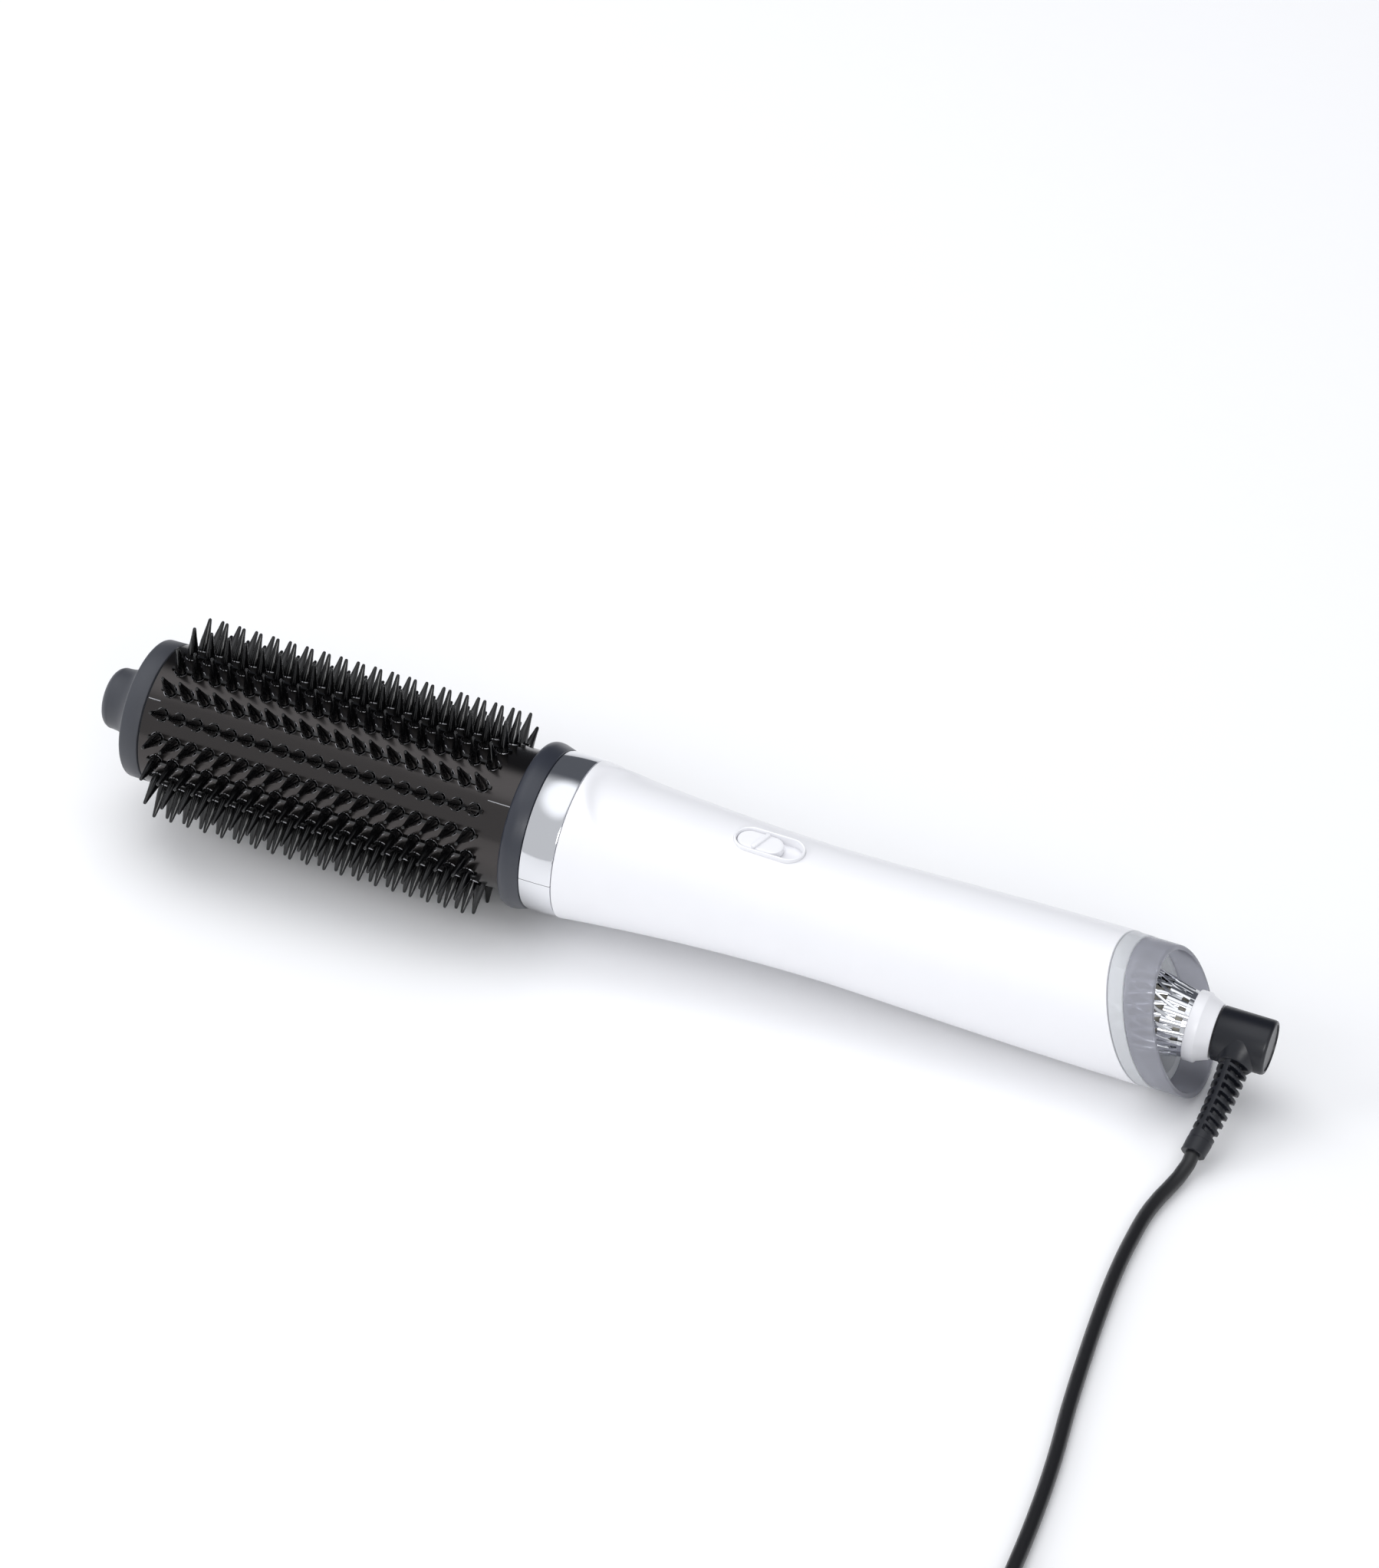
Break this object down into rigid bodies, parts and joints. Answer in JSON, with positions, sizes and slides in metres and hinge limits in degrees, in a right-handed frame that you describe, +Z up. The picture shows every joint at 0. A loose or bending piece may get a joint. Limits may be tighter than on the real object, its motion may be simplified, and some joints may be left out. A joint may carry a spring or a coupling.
{
  "type": "hot air brush",
  "caption": "Handheld hot air styling brush: vented metal barrel with rows of pins, cool tip, waisted handle with slide switch, slanted air intake, swivel mains cord and plug.",
  "frame": {"origin": "on the floor under the middle of the brush's box, cord left out", "axes": "+X along the brush from its cool tip to its cord end, +Z up through the switch, -Y the side the cord leaves on"},
  "size_m": [0.46, 0.3682, 0.0724],
  "materials": {
    "cap_soft_black": "soft touch",
    "barrel_bronze": "polished dark anodised",
    "pin_nylon": "glossy",
    "core_steel": "mill",
    "mica": "mica board",
    "heater_wire": "oxidised",
    "ceramic": "matt",
    "tinned_metal": "satin",
    "collar_graphite": "satin",
    "chrome": "mirror",
    "body_white": "satin white",
    "switch_white": "fine matt",
    "inner_black": "moulded",
    "board_green": "solder mask",
    "duct_ivory": "moulded",
    "housing_grey": "moulded",
    "soft_rubber": "matt",
    "motor_steel": "zinc plated",
    "mesh_steel": "woven",
    "clear_plastic": "frosted clear",
    "smoke_plastic": "smoke",
    "contact_brass": "polished",
    "elbow_black": "satin",
    "cord_pvc": "soft PVC",
    "tie_black": "matt",
    "pin_metal": "nickel"
  },
  "bodies": {
    "handle": {"handle_sleeve": "body_white", "tip_cap": "cap_soft_black", "barrel_tube": "barrel_bronze", "bristle_strip_01": "pin_nylon", "bristle_strip_02": "pin_nylon", "bristle_strip_03": "pin_nylon", "bristle_strip_04": "pin_nylon", "bristle_strip_05": "pin_nylon", "bristle_strip_06": "pin_nylon", "bristle_strip_07": "pin_nylon", "bristle_strip_08": "pin_nylon", "bristle_strip_09": "pin_nylon", "bristle_strip_10": "pin_nylon", "bristle_strip_11": "pin_nylon", "bristle_strip_12": "pin_nylon", "bristle_strip_13": "pin_nylon", "bristle_strip_14": "pin_nylon", "bristle_strip_15": "pin_nylon", "bristle_strip_16": "pin_nylon", "bristle_strip_17": "pin_nylon", "bristle_strip_18": "pin_nylon", "comb_core": "core_steel", "heater_frame": "mica", "heating_coil": "heater_wire", "thermostat": "ceramic", "thermal_fuse": "tinned_metal", "heat_collar": "collar_graphite", "trim_ring_upper": "chrome", "trim_ring_lower": "chrome", "switch_bezel": "body_white", "switch_module": "inner_black", "wiring_board": "board_green", "air_duct": "duct_ivory", "fan_housing": "housing_grey", "motor_mount": "soft_rubber", "motor": "motor_steel", "filter_mesh": "mesh_steel", "intake_basket": "chrome", "cord_collar": "body_white", "contact_block": "ceramic"},
    "switch": {"switch_slider": "switch_white"},
    "rotor": {"rotor_shaft": "motor_steel", "fan_wheel": "inner_black"},
    "intake_cover": {"clear_ring": "clear_plastic", "intake_ring": "smoke_plastic"},
    "swivel": {"swivel_elbow": "elbow_black", "slip_rings": "contact_brass", "strain_relief": "elbow_black", "cord": "cord_pvc", "cord_coil": "cord_pvc", "cord_tail": "cord_pvc", "cord_tie": "tie_black", "plug_body": "elbow_black", "plug_pins": "pin_metal"}
  },
  "joints": [
    {"name": "switch_slide", "type": "slide", "parent": "handle", "child": "switch", "axis": [0.9989, 0, -0.0468], "range_m": [0, 0.006]},
    {"name": "fan_spin", "type": "hinge", "parent": "handle", "child": "rotor", "pos_m": [0.10053, 0, 0.02609], "axis": [0.9989, 0, -0.0468], "continuous": true},
    {"name": "intake_pull", "type": "slide", "parent": "handle", "child": "intake_cover", "axis": [0.9989, 0, -0.0468], "range_m": [0, 0.0035]},
    {"name": "cord_swivel", "type": "hinge", "parent": "handle", "child": "swivel", "pos_m": [0.18074, 0, 0.02234], "axis": [0.9989, 0, -0.0468], "continuous": true}
  ]
}
